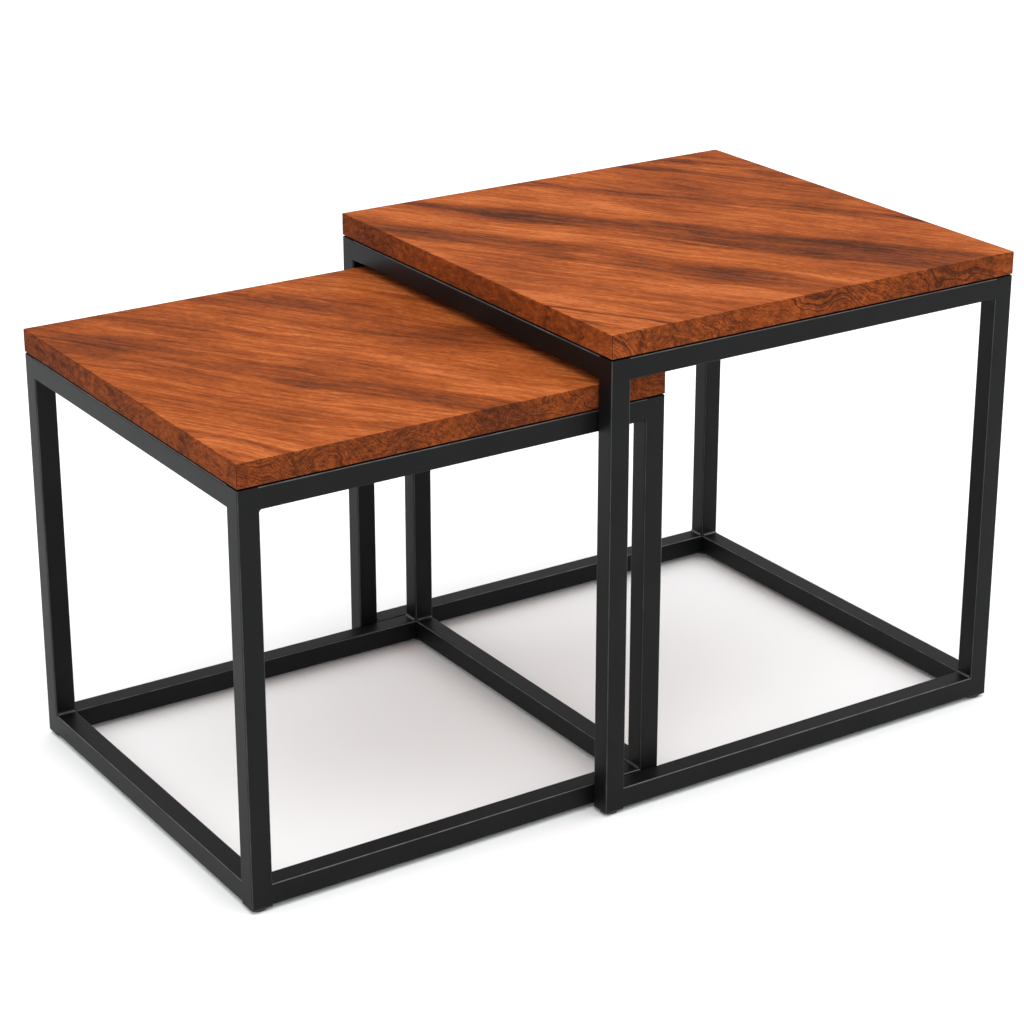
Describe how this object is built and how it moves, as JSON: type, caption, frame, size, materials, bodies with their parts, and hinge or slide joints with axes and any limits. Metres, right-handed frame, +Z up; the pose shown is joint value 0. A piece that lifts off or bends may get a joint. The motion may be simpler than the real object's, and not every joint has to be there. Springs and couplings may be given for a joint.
{
  "type": "nesting tables",
  "caption": "Two square nesting side tables with wooden tops on black square-tube frames; the smaller one slides out from under the larger.",
  "frame": {"origin": "on the floor, at the centre of the whole set's footprint with the small table pulled out as in the rest pose", "axes": "+X from the small table towards the large one, along the way the small table slides; +Y from the front to the back; +Z up"},
  "size_m": [0.88, 0.5, 0.5],
  "materials": {
    "wood": "satin lacquer",
    "black_powder_coat": "satin powder coat",
    "foot_plastic": "matte",
    "screw_steel": "zinc plated"
  },
  "bodies": {
    "large_table": {"large_wood_top": "wood", "large_top_screws": "screw_steel", "large_weld_beads": "black_powder_coat", "large_leg_front_left": "black_powder_coat", "large_leg_front_right": "black_powder_coat", "large_leg_back_left": "black_powder_coat", "large_leg_back_right": "black_powder_coat", "large_top_rail_front": "black_powder_coat", "large_top_rail_back": "black_powder_coat", "large_top_rail_left": "black_powder_coat", "large_top_rail_right": "black_powder_coat", "large_base_rail_front": "black_powder_coat", "large_base_rail_back": "black_powder_coat", "large_base_rail_right": "black_powder_coat", "large_corner_plate_front_left": "black_powder_coat", "large_corner_plate_front_right": "black_powder_coat", "large_corner_plate_back_left": "black_powder_coat", "large_corner_plate_back_right": "black_powder_coat", "large_foot_front_left": "foot_plastic", "large_foot_front_right": "foot_plastic", "large_foot_back_left": "foot_plastic", "large_foot_back_right": "foot_plastic"},
    "small_table": {"small_wood_top": "wood", "small_top_screws": "screw_steel", "small_weld_beads": "black_powder_coat", "small_leg_front_left": "black_powder_coat", "small_leg_front_right": "black_powder_coat", "small_leg_back_left": "black_powder_coat", "small_leg_back_right": "black_powder_coat", "small_top_rail_front": "black_powder_coat", "small_top_rail_back": "black_powder_coat", "small_top_rail_left": "black_powder_coat", "small_top_rail_right": "black_powder_coat", "small_base_rail_front": "black_powder_coat", "small_base_rail_back": "black_powder_coat", "small_base_rail_left": "black_powder_coat", "small_base_rail_right": "black_powder_coat", "small_corner_plate_front_left": "black_powder_coat", "small_corner_plate_front_right": "black_powder_coat", "small_corner_plate_back_left": "black_powder_coat", "small_corner_plate_back_right": "black_powder_coat", "small_foot_front_left": "foot_plastic", "small_foot_front_right": "foot_plastic", "small_foot_back_left": "foot_plastic", "small_foot_back_right": "foot_plastic"}
  },
  "joints": [
    {"name": "small_table_slide", "type": "slide", "parent": "large_table", "child": "small_table", "axis": [1, 0, 0], "range_m": [-0.1, 0.396]}
  ]
}
